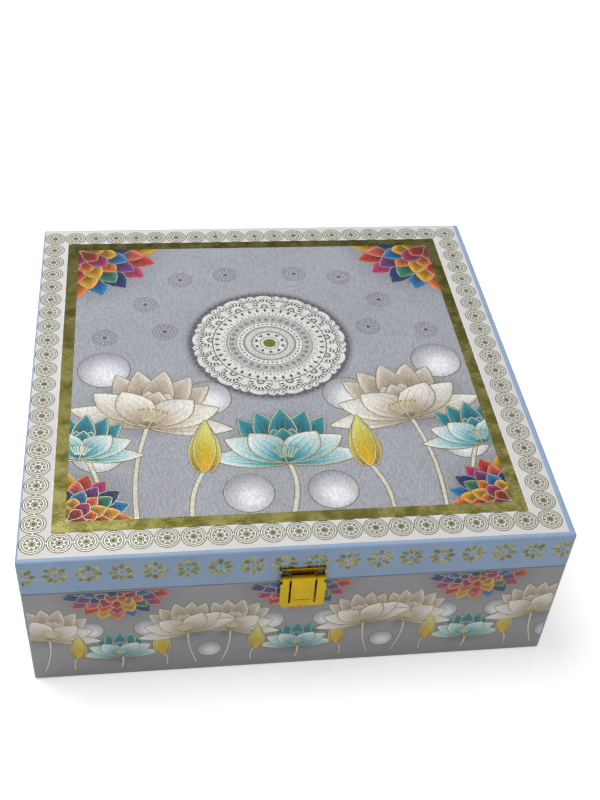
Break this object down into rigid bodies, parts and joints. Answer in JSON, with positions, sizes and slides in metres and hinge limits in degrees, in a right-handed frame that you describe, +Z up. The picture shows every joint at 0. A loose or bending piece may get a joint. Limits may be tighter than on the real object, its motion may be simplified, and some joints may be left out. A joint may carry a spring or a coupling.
{
  "type": "hinged jar gift box",
  "caption": "Square board gift box with a hinged lid and a stamped flap latch, holding round twist-off jars in a raised tray.",
  "frame": {"origin": "centre of the box's footprint, on the underside it rests on", "axes": "+Z up, -Y out of the front with the latch, +Y out of the back with the hinges, +X to the right seen from the front"},
  "size_m": [0.254, 0.2614, 0.0889],
  "materials": {
    "board": "sanded fibreboard, bare edges",
    "base_paper": "satin printed paper with soft gloss",
    "blue_paper": "light-blue wrapping paper with gold foil flowers",
    "top_paper": "embossed printed sheet with foil border",
    "lining_paper": "plain ivory lining paper",
    "tray_velvet": "short flocked pile",
    "jar_glass": "clear soda-lime glass",
    "cap_metal": "gold-lacquered tinplate",
    "cap_seal": "soft white sealing compound",
    "latch_metal": "bright brass plating",
    "hinge_metal": "brass plating"
  },
  "bodies": {
    "base": {"base_bottom": "board", "base_front_wall": "board", "base_back_wall": "board", "base_left_wall": "board", "base_right_wall": "board", "base_wrap": "base_paper", "base_underside_paper": "base_paper", "base_lining": "lining_paper", "jar_tray_deck": "tray_velvet", "jar_tray_front_leg": "tray_velvet", "jar_tray_back_leg": "tray_velvet", "jar_tray_left_leg": "tray_velvet", "jar_tray_right_leg": "tray_velvet", "jar_1": "jar_glass", "jar_2": "jar_glass", "jar_3": "jar_glass", "jar_4": "jar_glass", "hinge_base_leaf_left": "hinge_metal", "hinge_pin_left": "hinge_metal", "hinge_base_leaf_right": "hinge_metal", "hinge_pin_right": "hinge_metal", "hinge_base_screws": "hinge_metal", "latch_strike": "latch_metal", "latch_strike_rivets": "latch_metal"},
    "lid": {"lid_top_panel": "board", "lid_front_rim": "board", "lid_back_rim": "board", "lid_left_rim": "board", "lid_right_rim": "board", "lid_wrap": "blue_paper", "lid_top_print": "top_paper", "lid_lining": "lining_paper", "hinge_lid_leaf_left": "hinge_metal", "hinge_lid_leaf_right": "hinge_metal", "hinge_lid_screws": "hinge_metal", "latch_lid_plate": "latch_metal", "latch_pin": "latch_metal", "latch_lid_rivets": "latch_metal"},
    "flap": {"latch_flap": "latch_metal"},
    "seal_1": {"jar_cap_liner_1": "cap_seal"},
    "cap_1": {"jar_cap_1": "cap_metal"},
    "seal_2": {"jar_cap_liner_2": "cap_seal"},
    "cap_2": {"jar_cap_2": "cap_metal"},
    "seal_3": {"jar_cap_liner_3": "cap_seal"},
    "cap_3": {"jar_cap_3": "cap_metal"},
    "seal_4": {"jar_cap_liner_4": "cap_seal"},
    "cap_4": {"jar_cap_4": "cap_metal"}
  },
  "joints": [
    {"name": "lid_hinge", "type": "hinge", "parent": "base", "child": "lid", "pos_m": [0, 0.12895, 0.0666], "axis": [-1, 0, 0], "range_deg": [0, 180]},
    {"name": "flap_hinge", "type": "hinge", "parent": "lid", "child": "flap", "pos_m": [0, -0.1294, 0.0714], "axis": [-1, 0, 0], "range_deg": [0, 150]},
    {"name": "cap_lift_1", "type": "slide", "parent": "base", "child": "seal_1", "axis": [0, 0, 1], "range_m": [0, 0.002]},
    {"name": "cap_turn_1", "type": "hinge", "parent": "seal_1", "child": "cap_1", "pos_m": [-0.059, -0.059, 0.0775], "axis": [0, 0, 1], "range_deg": [0, 90]},
    {"name": "cap_lift_2", "type": "slide", "parent": "base", "child": "seal_2", "axis": [0, 0, 1], "range_m": [0, 0.002]},
    {"name": "cap_turn_2", "type": "hinge", "parent": "seal_2", "child": "cap_2", "pos_m": [0.059, -0.059, 0.0775], "axis": [0, 0, 1], "range_deg": [0, 90]},
    {"name": "cap_lift_3", "type": "slide", "parent": "base", "child": "seal_3", "axis": [0, 0, 1], "range_m": [0, 0.002]},
    {"name": "cap_turn_3", "type": "hinge", "parent": "seal_3", "child": "cap_3", "pos_m": [-0.059, 0.059, 0.0775], "axis": [0, 0, 1], "range_deg": [0, 90]},
    {"name": "cap_lift_4", "type": "slide", "parent": "base", "child": "seal_4", "axis": [0, 0, 1], "range_m": [0, 0.002]},
    {"name": "cap_turn_4", "type": "hinge", "parent": "seal_4", "child": "cap_4", "pos_m": [0.059, 0.059, 0.0775], "axis": [0, 0, 1], "range_deg": [0, 90]}
  ],
  "couplings": [
    {"joint": "cap_lift_1", "follows": "cap_turn_1", "m_per_rad": 0.00127},
    {"joint": "cap_lift_2", "follows": "cap_turn_2", "m_per_rad": 0.00127},
    {"joint": "cap_lift_3", "follows": "cap_turn_3", "m_per_rad": 0.00127},
    {"joint": "cap_lift_4", "follows": "cap_turn_4", "m_per_rad": 0.00127}
  ]
}
